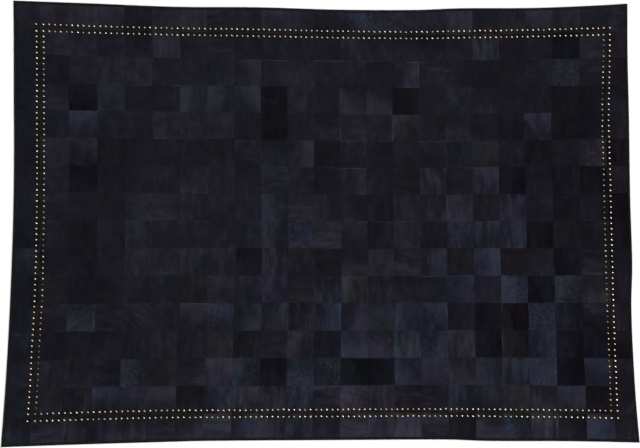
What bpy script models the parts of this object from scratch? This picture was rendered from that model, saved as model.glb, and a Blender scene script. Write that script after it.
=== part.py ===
"""Cowhide patchwork rug with a double row of brass studs, lying flat.

Metres, +Z up, +X to the right and +Y away. The origin is on the floor under the middle of the rug.
The rug is laid out on a straight grid of square patches first. place() then pulls each point to where
the sewn rug really has it, so the panels, studs and binding all share one slightly crooked outline.
"""

import math
from collections import namedtuple

import bpy
from mathutils import Vector
from mathutils.geometry import delaunay_2d_cdt

# The grid of patches
PATCH = 0.100  # side of one square of hide
COLUMNS = 23  # patches across, with the ring of border patches
ROWS = 16  # patches up, with the ring of border patches
HALF_X = COLUMNS * PATCH / 2
HALF_Y = ROWS * PATCH / 2
SEAM_X = HALF_X - PATCH  # the seam between the field and the side borders
SEAM_Y = HALF_Y - PATCH
NEAR = 1e-6  # two grid places closer than this are the same

# The hide
HIDE_TOP = 0.0040  # skin with its short hair lying flat
SEAM_DIP = 0.0009  # how far the top dips along a seam
SEAM_HALF = 0.0030  # from a seam to the full height of a patch
SEWN_GAP = 0.0003  # between two panels that are sewn together

# The binding, a strip of thin leather folded round the edge
BINDING_WIDTH = 0.0100  # what it covers of the top, and of the underside
BINDING_SKIN = 0.0010
BINDING_TOP = 0.0052
BINDING_ROLL = 0.0012  # its outer wall, and the chamfer of its fold
FIT = 0.0003  # between the binding and the hide inside it

# The hide's edge inside the binding, as depths from the rug's edge and heights
HIDE_EDGE = BINDING_ROLL + FIT
EDGE_LOW = BINDING_SKIN + FIT
EDGE_HIGH = BINDING_TOP - BINDING_SKIN - FIT
LIFTED = 0.0110  # the underside is lifted into the binding up to here
COVERED = 0.0130  # the top is pressed flat up to here
LANDED = 0.0170  # the underside lies on the floor from here

# The studs, brass domes on both sides of the border seam
STUDS_X = 105  # in the inner row along the back and the front, with the corner ones
STUDS_Y = 70  # in the inner row up each side, with the corner ones
STUD_OFF_SEAM = 0.0127  # from the seam to the row on either side of it
STUD_RADIUS = 0.0036
STUD_RISE = 0.0021
STUD_SIDES = 5
STUD_BAND = 0.0220  # depth beside the border seam that is kept for a row of studs

# How far the sewn rug is pulled out of square. Each row gives a place along the side, and how far
# outwards the edge and the border seam lie there from their straight lines, in millimetres.
Pull = namedtuple("Pull", "place edge seam")
LEFT = [
    Pull(-0.80, 46, 43),
    Pull(-0.62, 35, 31),
    Pull(-0.45, 27, 25),
    Pull(-0.27, 21, 17),
    Pull(0.00, 16, 16),
    Pull(0.22, 17, 18),
    Pull(0.45, 22, 23),
    Pull(0.65, 26, 27),
    Pull(0.80, 30, 32),
]
RIGHT = [
    Pull(-0.80, 3, 16),
    Pull(-0.64, -8, 12),
    Pull(-0.45, -16, 8),
    Pull(-0.30, -18, 5),
    Pull(-0.16, -12, 3),
    Pull(0.08, -15, 1),
    Pull(0.38, -14, -1),
    Pull(0.60, -15, 7),
    Pull(0.80, -12, 13),
]
FRONT = [
    Pull(-1.15, 35, 31),
    Pull(-0.88, 25, 21),
    Pull(-0.59, 16, 14),
    Pull(-0.44, 12, 13),
    Pull(0.00, 9, 10),
    Pull(0.44, 7, 8),
    Pull(0.59, 12, 9),
    Pull(0.88, 13, 12),
    Pull(1.15, 18, 17),
]
BACK = [
    Pull(-1.15, 33, 34),
    Pull(-0.87, 22, 23),
    Pull(-0.56, 9, 15),
    Pull(-0.26, 7, 10),
    Pull(0.04, -2, 4),
    Pull(0.34, -3, 1),
    Pull(0.50, 3, 4),
    Pull(0.80, 5, 9),
    Pull(1.15, 21, 19),
]
# The seams between the columns also drift to the right in the middle, by this much at the front
# and at the back of the field, in millimetres.
Drift = namedtuple("Drift", "place front back")
COLUMN_DRIFT = [
    Drift(-1.05, 0, 0),
    Drift(-0.95, 7, 7),
    Drift(-0.80, 13, 13),
    Drift(-0.60, 17, 18),
    Drift(-0.38, 21, 20),
    Drift(-0.10, 16, 17),
    Drift(0.20, 9, 8),
    Drift(0.50, 2, 2),
    Drift(0.80, -4, -3),
    Drift(1.05, 0, 0),
]

HIDE_COLOUR = (0.012, 0.013, 0.020, 1)
BORDER_COLOUR = (0.014, 0.014, 0.019, 1)
LEATHER_COLOUR = (0.008, 0.008, 0.010, 1)
BRASS_COLOUR = (0.72, 0.55, 0.30, 1)


def curve_through(table, place, column):
    """A smooth curve through one column of a table, in metres."""
    last = len(table) - 1
    n = max(i for i in range(last) if i == 0 or table[i].place <= place)
    before, a, b, after = (table[min(max(n + k, 0), last)] for k in (-1, 0, 1, 2))
    step = b.place - a.place
    t = min(max((place - a.place) / step, 0), 1)
    start, end = getattr(a, column), getattr(b, column)
    slope_in = (end - getattr(before, column)) / (b.place - before.place) * step
    slope_out = (getattr(after, column) - start) / (after.place - a.place) * step
    rise = (end - start) * t * t * (3 - 2 * t)
    bend = t * (1 - t) * (slope_in * (1 - t) - slope_out * t)
    return (start + rise + bend) / 1000


def pulled(at, along, seam, edge, low, high):
    """How far a grid place is pulled along one axis, from the tables of the two sides across it."""
    if abs(at) <= seam:
        share = (at + seam) / (2 * seam)
        low_pull = curve_through(low, along, "seam")
        high_pull = curve_through(high, along, "seam")
        return high_pull * share - low_pull * (1 - share)
    side, sign = (high, 1) if at > 0 else (low, -1)
    share = (abs(at) - seam) / (edge - seam)
    at_seam = curve_through(side, along, "seam")
    at_edge = curve_through(side, along, "edge")
    return sign * (at_seam + (at_edge - at_seam) * share)


def pulled_place(x, y):
    share = min(max((y + SEAM_Y) / (2 * SEAM_Y), 0), 1)
    drift_front = curve_through(COLUMN_DRIFT, x, "front")
    drift_back = curve_through(COLUMN_DRIFT, x, "back")
    drift = drift_front + (drift_back - drift_front) * share
    across = pulled(x, y, SEAM_X, HALF_X, LEFT, RIGHT) + drift
    up = pulled(y, x, SEAM_Y, HALF_Y, FRONT, BACK)
    return Vector((x + across, y + up))


def outline_middle():
    """The middle of the box round the outline, whose furthest points are its corners."""
    corners = [pulled_place(x, y) for x in (-HALF_X, HALF_X) for y in (-HALF_Y, HALF_Y)]
    across = [c.x for c in corners]
    up = [c.y for c in corners]
    return Vector((min(across) + max(across), min(up) + max(up))) / 2


MIDDLE = outline_middle()


def place(x, y):
    """Where a point of the straight grid lies on the sewn rug."""
    return pulled_place(x, y) - MIDDLE


def depth_of(x, y):
    """Depth of a grid point inside the rug's straight edge."""
    return min(HALF_X - abs(x), HALF_Y - abs(y))


def on_seam(x, y):
    """Whether a grid point lies on one of the seams between patches."""
    off_x = abs((x + HALF_X + PATCH / 2) % PATCH - PATCH / 2)
    off_y = abs((y + HALF_Y + PATCH / 2) % PATCH - PATCH / 2)
    return min(off_x, off_y) <= SEWN_GAP


def top_height(x, y):
    if depth_of(x, y) < COVERED - NEAR:
        return EDGE_HIGH
    return HIDE_TOP - SEAM_DIP if on_seam(x, y) else HIDE_TOP


def underside_height(x, y):
    return EDGE_LOW if depth_of(x, y) < LIFTED + NEAR else 0.0


def with_seams(low, high, offset):
    """The two ends of a run on the grid and the seams between them. The seams lie at whole numbers
    of patches plus the offset."""
    first = math.ceil((low + NEAR) / PATCH - offset)
    last = math.floor((high - NEAR) / PATCH - offset)
    return [low, *((n + offset) * PATCH for n in range(first, last + 1)), high]


def across(low, high):
    return with_seams(low, high, 0.5)


def up(low, high):
    return with_seams(low, high, 0.0)


def material(name, colour, roughness, metallic=0.0):
    made = bpy.data.materials.new(name)
    made.use_nodes = True
    shader = made.node_tree.nodes["Principled BSDF"]
    shader.inputs["Base Color"].default_value = colour
    shader.inputs["Roughness"].default_value = roughness
    shader.inputs["Metallic"].default_value = metallic
    made.diffuse_color = colour
    return made


def new_object(name, verts, faces, materials, face_slots=None):
    mesh = bpy.data.meshes.new(name)
    mesh.from_pydata(verts, [], faces)
    for each in materials:
        mesh.materials.append(each)
    if face_slots:
        mesh.polygons.foreach_set("material_index", face_slots)
    mesh.update()
    made = bpy.data.objects.new(name, mesh)
    bpy.context.scene.collection.objects.link(made)


def key(point):
    return (round(point[0], 6), round(point[1], 6))


def triangulate(loop, creases, peaks=()):
    """Grid points and triangles of one side of a panel. The loop bounds it, each crease is a line
    of edges in it, and peaks are single points."""
    points, numbers, edges = [], {}, []

    def number_of(point):
        if key(point) not in numbers:
            numbers[key(point)] = len(points)
            points.append(point)
        return numbers[key(point)]

    for line in [loop + loop[:1], *creases]:
        run = [number_of(point) for point in line]
        edges += zip(run, run[1:])
    for point in peaks:
        number_of(point)
    flat = [place(*point) for point in points]
    verts, _, faces, sources, _, _ = delaunay_2d_cdt(flat, edges, [], 1, 1e-7)
    assert len(verts) == len(points), "two creases cross"
    return points, [[sources[v][0] for v in face] for face in faces]


def rectangle(low, high, cuts_x, cuts_y):
    """A loop round a grid rectangle, anticlockwise, with a point at each seam and cut."""
    xs = sorted({*across(low[0], high[0]), *cuts_x})
    ys = sorted({*up(low[1], high[1]), *cuts_y})
    loop = [(x, low[1]) for x in xs] + [(high[0], y) for y in ys[1:]]
    return loop + [(x, high[1]) for x in xs[-2::-1]] + [(low[0], y) for y in ys[-2:0:-1]]


def patch_tops(low, high, margins):
    """The flat top of each patch in a grid rectangle. The margins are the room that is kept at the
    rectangle's left, front, right and back sides."""
    left, front, right, back = margins
    xs, ys = across(low[0], high[0]), up(low[1], high[1])
    tops = []
    for i, (x0, x1) in enumerate(zip(xs, xs[1:])):
        for j, (y0, y1) in enumerate(zip(ys, ys[1:])):
            west = x0 + (left if i == 0 else SEAM_HALF)
            east = x1 - (right if i == len(xs) - 2 else SEAM_HALF)
            south = y0 + (front if j == 0 else SEAM_HALF)
            north = y1 - (back if j == len(ys) - 2 else SEAM_HALF)
            corners = [(west, south), (east, south), (east, north), (west, north)]
            tops.append(corners + corners[:1])
    return tops


def seam_lines(low, high):
    """The seams between the patches of a grid rectangle, from side to side."""
    xs, ys = across(low[0], high[0]), up(low[1], high[1])
    lines = [[(x, y) for y in ys] for x in xs[1:-1]]
    return lines + [[(x, y) for x in xs] for y in ys[1:-1]]


def stud_foot(centre):
    turns = [2 * math.pi * (k + 0.25) / STUD_SIDES for k in range(STUD_SIDES)]
    x, y = centre
    foot = [(x + STUD_RADIUS * math.cos(t), y + STUD_RADIUS * math.sin(t)) for t in turns]
    return foot + foot[:1]


def panel(name, rim, tops, top_lines, under_lines, studs, materials):
    """One sewn panel of patches, with its studs raised in its top."""
    creases = tops + top_lines + [stud_foot(centre) for centre in studs]
    top_points, top_faces = triangulate(rim, creases, studs)
    under_points, under_faces = triangulate(rim, under_lines)

    heads = {key(centre) for centre in studs}
    verts = []
    for point in top_points:
        rise = STUD_RISE if key(point) in heads else 0
        verts.append((*place(*point), top_height(*point) + rise))
    verts += [(*place(*point), underside_height(*point)) for point in under_points]

    first, sides = len(top_points), len(rim)
    faces = top_faces + [[first + v for v in reversed(face)] for face in under_faces]
    for a in range(sides):
        b = (a + 1) % sides
        faces.append([first + a, first + b, b, a])
    peaks = {n for n, point in enumerate(top_points) if key(point) in heads}
    new_object(name, verts, faces, materials, [int(bool(peaks & set(face))) for face in faces])


def stud_rows():
    """Grid places along the inner row of studs, across and up."""
    half_x, half_y = SEAM_X - STUD_OFF_SEAM, SEAM_Y - STUD_OFF_SEAM
    xs = [half_x * (2 * i / (STUDS_X - 1) - 1) for i in range(STUDS_X)]
    ys = [half_y * (2 * j / (STUDS_Y - 1) - 1) for j in range(STUDS_Y)]
    return xs, ys


def field(materials):
    """The middle panel, with the inner row of studs round it."""
    half_x, half_y = SEAM_X - SEWN_GAP / 2, SEAM_Y - SEWN_GAP / 2
    low, high = (-half_x, -half_y), (half_x, half_y)
    xs, ys = stud_rows()
    studs = [(x, y) for x in xs for y in (ys[0], ys[-1])]
    studs += [(x, y) for x in (xs[0], xs[-1]) for y in ys[1:-1]]
    tops = patch_tops(low, high, (STUD_BAND,) * 4)
    panel("field", rectangle(low, high, (), ()), tops, seam_lines(low, high), [], studs, materials)


def long_border(name, sign, materials):
    """The strip of patches along the back or the front, as wide as the rug."""
    foot, half_x = sign * (SEAM_Y + SEWN_GAP / 2), HALF_X - HIDE_EDGE
    front, back = sorted((foot, sign * (HALF_Y - HIDE_EDGE)))
    low, high = (-half_x, front), (half_x, back)

    def inside_edge(depth):
        x, y = HALF_X - depth, sign * (HALF_Y - depth)
        return [(-x, foot), *((s, y) for s in across(-x, x)), (x, foot)]

    cuts = [s * (HALF_X - depth) for depth in (LIFTED, COVERED, LANDED) for s in (-1, 1)]
    margins = (LANDED, STUD_BAND, LANDED, LANDED) if sign > 0 else (LANDED, LANDED, LANDED, STUD_BAND)
    seams = [[(x, foot), (x, sign * (HALF_Y - COVERED))] for x in across(-half_x, half_x)[1:-1]]
    xs, _ = stud_rows()
    row = sign * (SEAM_Y + STUD_OFF_SEAM)
    corner = SEAM_X + STUD_OFF_SEAM
    panel(
        name,
        rectangle(low, high, cuts, ()),
        patch_tops(low, high, margins),
        [inside_edge(COVERED), *seams],
        [inside_edge(LIFTED), inside_edge(LANDED)],
        [(x, row) for x in (-corner, *xs, corner)],
        materials,
    )


def side_border(name, sign, materials):
    """The strip of patches up the right or the left side, between the two long ones."""
    foot, half_y = sign * (SEAM_X + SEWN_GAP / 2), SEAM_Y - SEWN_GAP / 2
    left, right = sorted((foot, sign * (HALF_X - HIDE_EDGE)))
    low, high = (left, -half_y), (right, half_y)

    def inside_edge(depth):
        return [(sign * (HALF_X - depth), y) for y in up(-half_y, half_y)]

    cuts = [sign * (HALF_X - depth) for depth in (LIFTED, COVERED, LANDED)]
    at_left, at_right = (STUD_BAND, LANDED) if sign > 0 else (LANDED, STUD_BAND)
    seams = [[(foot, y), (sign * (HALF_X - COVERED), y)] for y in up(-half_y, half_y)[1:-1]]
    _, ys = stud_rows()
    panel(
        name,
        rectangle(low, high, cuts, ()),
        patch_tops(low, high, (at_left, SEAM_HALF, at_right, SEAM_HALF)),
        [inside_edge(COVERED), *seams],
        [inside_edge(LIFTED), inside_edge(LANDED)],
        [(sign * (SEAM_X + STUD_OFF_SEAM), y) for y in ys],
        materials,
    )


def binding_section():
    """Depth and height of the points round the folded strip's cross-section."""
    return [
        (0.0, BINDING_ROLL),
        (BINDING_ROLL, 0.0),
        (BINDING_WIDTH, 0.0),
        (BINDING_WIDTH, BINDING_SKIN),
        (BINDING_ROLL, BINDING_SKIN),
        (BINDING_ROLL, BINDING_TOP - BINDING_SKIN),
        (BINDING_WIDTH, BINDING_TOP - BINDING_SKIN),
        (BINDING_WIDTH, BINDING_TOP),
        (BINDING_ROLL, BINDING_TOP),
        (0.0, BINDING_TOP - BINDING_ROLL),
    ]


def binding(name, along_x, sign, leather):
    """The folded strip of one side, mitred at both corners."""
    section = binding_section()
    stations = across(-HALF_X, HALF_X) if along_x else up(-HALF_Y, HALF_Y)
    edge = HALF_Y if along_x else HALF_X
    verts = []
    for n, station in enumerate(stations):
        end = (n == 0) - (n == len(stations) - 1)
        for depth, height in section:
            along = station + end * (depth + SEWN_GAP / 2)
            off = sign * (edge - depth)
            x, y = (along, off) if along_x else (off, along)
            verts.append((*place(x, y), height))

    ring = len(section)
    faces = [list(range(ring))[::-1], [len(verts) - ring + k for k in range(ring)]]
    for start in range(0, len(verts) - ring, ring):
        for k in range(ring):
            here, there = start + k, start + (k + 1) % ring
            faces.append([here, there, there + ring, here + ring])
    if (sign > 0) == along_x:
        faces = [face[::-1] for face in faces]
    new_object(name, verts, faces, [leather])


def main():
    for old in list(bpy.data.objects):
        bpy.data.objects.remove(old)
    brass = material("stud_brass", BRASS_COLOUR, 0.30, 1.0)
    field([material("field_hide", HIDE_COLOUR, 0.55), brass])
    border = [material("border_hide", BORDER_COLOUR, 0.55), brass]
    long_border("border_back", 1, border)
    long_border("border_front", -1, border)
    side_border("border_right", 1, border)
    side_border("border_left", -1, border)
    leather = material("binding_leather", LEATHER_COLOUR, 0.65)
    binding("binding_back", True, 1, leather)
    binding("binding_front", True, -1, leather)
    binding("binding_right", False, 1, leather)
    binding("binding_left", False, -1, leather)


main()
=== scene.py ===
"""The looks of the cowhide patchwork rug: hair-on hides, sewn seams, brass studs and a bound edge.

Metres, in the frame's own axes. Everything is laid out on the straight grid of patches, and place()
pulls it to where the sewn rug really has it, as in the solids.
"""

import math
from collections import namedtuple

import bpy
import numpy as np
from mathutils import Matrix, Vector


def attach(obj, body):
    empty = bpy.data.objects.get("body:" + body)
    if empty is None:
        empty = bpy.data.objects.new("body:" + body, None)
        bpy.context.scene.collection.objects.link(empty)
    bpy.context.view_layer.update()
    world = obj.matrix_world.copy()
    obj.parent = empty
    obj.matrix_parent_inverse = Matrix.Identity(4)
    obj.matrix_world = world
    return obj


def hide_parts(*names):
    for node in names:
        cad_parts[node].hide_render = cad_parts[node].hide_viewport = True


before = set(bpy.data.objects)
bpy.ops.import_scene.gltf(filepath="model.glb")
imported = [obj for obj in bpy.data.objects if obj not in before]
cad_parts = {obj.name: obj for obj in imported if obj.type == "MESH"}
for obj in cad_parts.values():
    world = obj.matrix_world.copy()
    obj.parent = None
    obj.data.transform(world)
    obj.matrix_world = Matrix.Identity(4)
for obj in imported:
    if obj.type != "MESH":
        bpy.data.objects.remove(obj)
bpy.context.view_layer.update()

# The grid of patches, with the ring of border patches in columns 0 and 22 and rows 0 and 15
PATCH = 0.100
COLUMNS = 23
ROWS = 16
HALF_X = COLUMNS * PATCH / 2
HALF_Y = ROWS * PATCH / 2
SEAM_X = HALF_X - PATCH
SEAM_Y = HALF_Y - PATCH

# The hide
HIDE_TOP = 0.0040
UNDER_BINDING = 0.0039  # the hide's top inside the binding
LIFTED_TO = 0.0013  # the hide's underside inside the binding
FLAT_DEPTH = 0.0130  # depth from the edge up to which the top is pressed flat
LIFT_DEPTH = 0.0120  # and up to which the underside is lifted
HIDE_EDGE = 0.0015  # depth at which the hide ends, inside the fold

# The binding, a strip of thin leather folded round the edge
BINDING_WIDTH = 0.0100
BINDING_SKIN = 0.0010
BINDING_TOP = 0.0052
BINDING_ROLL = 0.0020  # radius of the fold's underside
FOLD_ROUND = 0.0034  # depth from which the top rounds down to the fold
FOLD_DROP = 0.0020  # and how far it falls
STITCH_DEPTH = 0.0070  # depth of the row of stitches, in its pressed groove
STITCH_STEP = 0.0045
STITCH_MARGIN = 0.0095  # how far before a corner the row ends

# The studs
STUDS_X = 105
STUDS_Y = 70
STUD_OFF_SEAM = 0.0127
STUD_RADIUS = 0.0036
STUD_RISE = 0.0021

# How far the sewn rug is pulled outwards of its straight lines, in millimetres, at a place along
# each side: its edge, and the border seam inside it
Pull = namedtuple("Pull", "place edge seam")
LEFT = [
    Pull(-0.80, 46, 43),
    Pull(-0.62, 35, 31),
    Pull(-0.45, 27, 25),
    Pull(-0.27, 21, 17),
    Pull(0.00, 16, 16),
    Pull(0.22, 17, 18),
    Pull(0.45, 22, 23),
    Pull(0.65, 26, 27),
    Pull(0.80, 30, 32),
]
RIGHT = [
    Pull(-0.80, 3, 16),
    Pull(-0.64, -8, 12),
    Pull(-0.45, -16, 8),
    Pull(-0.30, -18, 5),
    Pull(-0.16, -12, 3),
    Pull(0.08, -15, 1),
    Pull(0.38, -14, -1),
    Pull(0.60, -15, 7),
    Pull(0.80, -12, 13),
]
FRONT = [
    Pull(-1.15, 35, 31),
    Pull(-0.88, 25, 21),
    Pull(-0.59, 16, 14),
    Pull(-0.44, 12, 13),
    Pull(0.00, 9, 10),
    Pull(0.44, 7, 8),
    Pull(0.59, 12, 9),
    Pull(0.88, 13, 12),
    Pull(1.15, 18, 17),
]
BACK = [
    Pull(-1.15, 33, 34),
    Pull(-0.87, 22, 23),
    Pull(-0.56, 9, 15),
    Pull(-0.26, 7, 10),
    Pull(0.04, -2, 4),
    Pull(0.34, -3, 1),
    Pull(0.50, 3, 4),
    Pull(0.80, 5, 9),
    Pull(1.15, 21, 19),
]
# How far the column seams drift to the right inside the field, in millimetres
Drift = namedtuple("Drift", "place front back")
COLUMN_DRIFT = [
    Drift(-1.05, 0, 0),
    Drift(-0.95, 7, 7),
    Drift(-0.80, 13, 13),
    Drift(-0.60, 17, 18),
    Drift(-0.38, 21, 20),
    Drift(-0.10, 16, 17),
    Drift(0.20, 9, 8),
    Drift(0.50, 2, 2),
    Drift(0.80, -4, -3),
    Drift(1.05, 0, 0),
]


def curve_through(table, places, column):
    """A smooth curve through one column of a table, in metres, at an array of places."""
    at = np.array([row.place for row in table])
    value = np.array([getattr(row, column) for row in table]) / 1000
    n = np.clip(np.searchsorted(at, places, side="right") - 1, 0, len(at) - 2)
    before, after = np.maximum(n - 1, 0), np.minimum(n + 2, len(at) - 1)
    step = at[n + 1] - at[n]
    t = np.clip((places - at[n]) / step, 0, 1)
    start, end = value[n], value[n + 1]
    slope_in = (end - value[before]) / (at[n + 1] - at[before]) * step
    slope_out = (value[after] - start) / (at[after] - at[n]) * step
    bend = t * (1 - t) * (slope_in * (1 - t) - slope_out * t)
    return start + (end - start) * t * t * (3 - 2 * t) + bend


def pulled(at, along, seam, edge, low, high):
    """How far grid places are pulled along one axis, from the tables of the two sides across it."""
    low_seam, high_seam = (curve_through(side, along, "seam") for side in (low, high))
    low_edge, high_edge = (curve_through(side, along, "edge") for side in (low, high))
    share = np.clip((at + seam) / (2 * seam), 0, 1)
    inside = high_seam * share - low_seam * (1 - share)
    past = (np.abs(at) - seam) / (edge - seam)
    over = high_seam + (high_edge - high_seam) * past
    under = -low_seam - (low_edge - low_seam) * past
    return np.where(at > seam, over, np.where(at < -seam, under, inside))


def pulled_place(x, y):
    share = np.clip((y + SEAM_Y) / (2 * SEAM_Y), 0, 1)
    drift_front = curve_through(COLUMN_DRIFT, x, "front")
    drift_back = curve_through(COLUMN_DRIFT, x, "back")
    across = pulled(x, y, SEAM_X, HALF_X, LEFT, RIGHT) + drift_front * (1 - share) + drift_back * share
    up = pulled(y, x, SEAM_Y, HALF_Y, FRONT, BACK)
    return np.stack((x + across, y + up), axis=-1)


CORNERS = pulled_place(
    np.array([-HALF_X, HALF_X, HALF_X, -HALF_X]), np.array([-HALF_Y, -HALF_Y, HALF_Y, HALF_Y])
)
MIDDLE = (CORNERS.min(axis=0) + CORNERS.max(axis=0)) / 2


def place(x, y):
    """Where points of the straight grid lie on the sewn rug."""
    return pulled_place(np.asarray(x, float), np.asarray(y, float)) - MIDDLE


def smooth_noise(u, v, seed):
    """Smooth random waves about one unit long, from -1 to 1."""
    table = np.random.RandomState(seed).uniform(-1, 1, (64, 64))
    iu, iv = np.floor(u).astype(int), np.floor(v).astype(int)
    fu, fv = u - iu, v - iv
    fu, fv = fu * fu * (3 - 2 * fu), fv * fv * (3 - 2 * fv)
    low = table[iu % 64, iv % 64] * (1 - fu) + table[(iu + 1) % 64, iv % 64] * fu
    high = table[iu % 64, (iv + 1) % 64] * (1 - fu) + table[(iu + 1) % 64, (iv + 1) % 64] * fu
    return low * (1 - fv) + high * fv


# The patches

# What the words in the chart below stand for
TONES = {
    "darkest": 0.0,
    "dark": 0.17,
    "dim": 0.34,
    "light": 0.56,
    "pale": 0.61,
    "palest": 0.72,
}
SIDES = {"right": 0.0, "back": math.pi / 2, "left": math.pi, "front": -math.pi / 2}
TINTS = {
    "mauve": (1.04, 0.98, 1.00),
    "violet": (0.98, 0.93, 1.12),
    "olive": (1.00, 1.06, 0.80),
    "teal": (0.80, 1.06, 1.00),
    "blue": (0.82, 1.01, 1.16),
    "brown": (1.24, 1.02, 0.84),
    "pink": (1.24, 0.97, 0.95),
    "bronze": (1.28, 1.06, 0.70),
}
SEAM_ORDER = ("left", "right", "front", "back")
Feel = namedtuple("Feel", "streaks flecks whorl")
FEELS = {
    "even": Feel(0.02, 0.0, 0.0),
    "streaky": Feel(0.16, 0.03, 0.001),
    "flecked": Feel(0.05, 0.12, 0.004),
    "swirled": Feel(0.12, 0.03, 0.014),
}

# Patches that stand out in the photo, in a few steps of tone, which holds painted sheen as well as
# the hides' own tone. Columns count from the left and rows from the front. Side is where the
# painted sheen leaves the patch palest.
Mark = namedtuple("Mark", "row column tone side tint feel", defaults=("", "", "", ""))
MARKS = [
    Mark(15, 12, "light", "right", "blue", "flecked"),
    Mark(15, 13, "light", "", "teal", "flecked"),
    Mark(14, 2, "", "", "teal"),
    Mark(14, 15, "", "front", "teal"),
    Mark(14, 17, "", "", "teal", "streaky"),
    Mark(14, 18, "", "", "brown"),
    Mark(14, 20, "dark", "", "blue"),
    Mark(13, 8, "light", "right", "mauve"),
    Mark(13, 14, "light", "right", "mauve"),
    Mark(13, 20, "light", "", "teal", "flecked"),
    Mark(12, 2, "dark", "back", "violet", "flecked"),
    Mark(12, 6, "pale", "left", "teal"),
    Mark(12, 7, "light", "left", "teal"),
    Mark(12, 8, "pale", "right", "teal"),
    Mark(12, 9, "dark", "", "mauve", "flecked"),
    Mark(12, 12, "light", "front", "mauve", "even"),
    Mark(12, 13, "light", "front", "mauve", "even"),
    Mark(12, 14, "dark", "", "olive"),
    Mark(11, 2, "pale", "back", "blue"),
    Mark(11, 9, "dark", "", "olive"),
    Mark(11, 14, "light", "back", "olive"),
    Mark(11, 19, "light", "", "violet", "swirled"),
    Mark(10, 2, "", "back", "pink"),
    Mark(10, 10, "light", "right", "pink"),
    Mark(10, 21, "light", "", "pink", "flecked"),
    Mark(9, 2, "dark", "", "violet"),
    Mark(9, 3, "dim", "", "violet"),
    Mark(9, 6, "light", "", "mauve"),
    Mark(9, 15, "light", "", "mauve", "streaky"),
    Mark(9, 18, "dark", "left", "violet"),
    Mark(8, 9, "pale", "left", "teal"),
    Mark(8, 22, "darkest"),
    Mark(7, 2, "", "", "brown"),
    Mark(7, 9, "light", "left", "teal"),
    Mark(7, 10, "pale", "", "blue", "flecked"),
    Mark(7, 16, "light", "", "blue", "streaky"),
    Mark(7, 17, "light", "back", "blue", "streaky"),
    Mark(7, 18, "pale", "right", "blue", "streaky"),
    Mark(6, 9, "light", "", "mauve", "streaky"),
    Mark(6, 15, "light", "right", "blue"),
    Mark(6, 17, "palest", "right", "blue"),
    Mark(6, 18, "dim", "", "brown"),
    Mark(6, 20, "dark", "right", "violet"),
    Mark(5, 16, "light", "", "blue"),
    Mark(5, 18, "palest", "left", "blue", "flecked"),
    Mark(5, 19, "dark", "", "violet", "streaky"),
    Mark(5, 20, "pale", "left", "teal", "flecked"),
    Mark(4, 2, "pale", "", "teal", "flecked"),
    Mark(4, 6, "light", "back", "mauve", "even"),
    Mark(4, 7, "pale", "back", "blue", "flecked"),
    Mark(4, 8, "light", "right", "teal"),
    Mark(4, 11, "pale", "right", "blue", "streaky"),
    Mark(4, 12, "light", "right", "violet"),
    Mark(4, 14, "pale", "left", "blue"),
    Mark(4, 15, "pale", "back", "blue"),
    Mark(4, 17, "dark", "", "violet"),
    Mark(4, 18, "dark", "left", "pink", "streaky"),
    Mark(4, 19, "pale", "", "blue", "flecked"),
    Mark(4, 20, "dim", "left", "blue"),
    Mark(3, 10, "light", "left", "pink"),
    Mark(3, 12, "palest", "front", "blue"),
    Mark(3, 13, "pale", "front", "violet", "flecked"),
    Mark(3, 14, "palest", "front", "teal"),
    Mark(3, 15, "pale", "right", "blue", "flecked"),
    Mark(3, 17, "dark", "left", "mauve"),
    Mark(3, 18, "dim", "left", "pink"),
    Mark(3, 19, "light", "right", "blue"),
    Mark(3, 20, "dark", "left", "violet"),
    Mark(3, 21, "dark", "", "violet"),
    Mark(2, 4, "light", "left", "teal", "flecked"),
    Mark(2, 8, "light", "left", "teal", "flecked"),
    Mark(2, 9, "dark", "", "mauve"),
    Mark(2, 10, "pale", "", "blue", "flecked"),
    Mark(2, 11, "light", "", "teal", "flecked"),
    Mark(2, 12, "dark", "left", "teal"),
    Mark(2, 13, "dark", "", "violet"),
    Mark(2, 14, "pale", "front", "blue", "even"),
    Mark(2, 17, "pale", "left", "teal"),
    Mark(2, 18, "pale", "", "blue"),
    Mark(2, 19, "palest", "", "blue", "flecked"),
    Mark(2, 20, "darkest", "left", "violet"),
    Mark(2, 21, "light", "back", "blue", "even"),
    Mark(1, 3, "light", "back", "blue"),
    Mark(1, 5, "pale", "", "mauve", "even"),
    Mark(1, 6, "dim", "", "olive"),
    Mark(1, 7, "pale", "right", "blue", "swirled"),
    Mark(1, 10, "pale", "", "blue", "streaky"),
    Mark(1, 12, "palest", "left", "pink", "flecked"),
    Mark(1, 13, "pale", "", "mauve", "streaky"),
    Mark(1, 16, "light", "left", "blue", "streaky"),
    Mark(1, 21, "dark", "", "pink"),
    Mark(0, 8, "pale", "right", "blue", "even"),
    Mark(0, 10, "light", "", "blue", "streaky"),
    Mark(0, 18, "light", "left", "blue", "flecked"),
    Mark(0, 21, "palest", "left", "blue", "even"),
]

# Seams with a painted highlight, a pale line, on one side of a patch, and of the next ones along that
# side
PaleSeam = namedtuple("PaleSeam", "side row column run")
PALE_SEAMS = [
    PaleSeam("back", 13, 9, 1),
    PaleSeam("back", 13, 11, 4),
    PaleSeam("right", 13, 14, 1),
    PaleSeam("back", 12, 4, 2),
    PaleSeam("left", 11, 12, 2),
    PaleSeam("left", 11, 14, 1),
    PaleSeam("back", 10, 12, 2),
    PaleSeam("back", 10, 15, 2),
    PaleSeam("back", 10, 20, 1),
    PaleSeam("left", 10, 16, 1),
    PaleSeam("back", 9, 2, 1),
    PaleSeam("back", 9, 9, 1),
    PaleSeam("back", 9, 11, 2),
    PaleSeam("back", 9, 16, 2),
    PaleSeam("left", 8, 16, 1),
    PaleSeam("back", 7, 12, 3),
    PaleSeam("back", 5, 15, 3),
    PaleSeam("back", 4, 6, 1),
    PaleSeam("left", 3, 18, 2),
    PaleSeam("back", 2, 12, 3),
]

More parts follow.
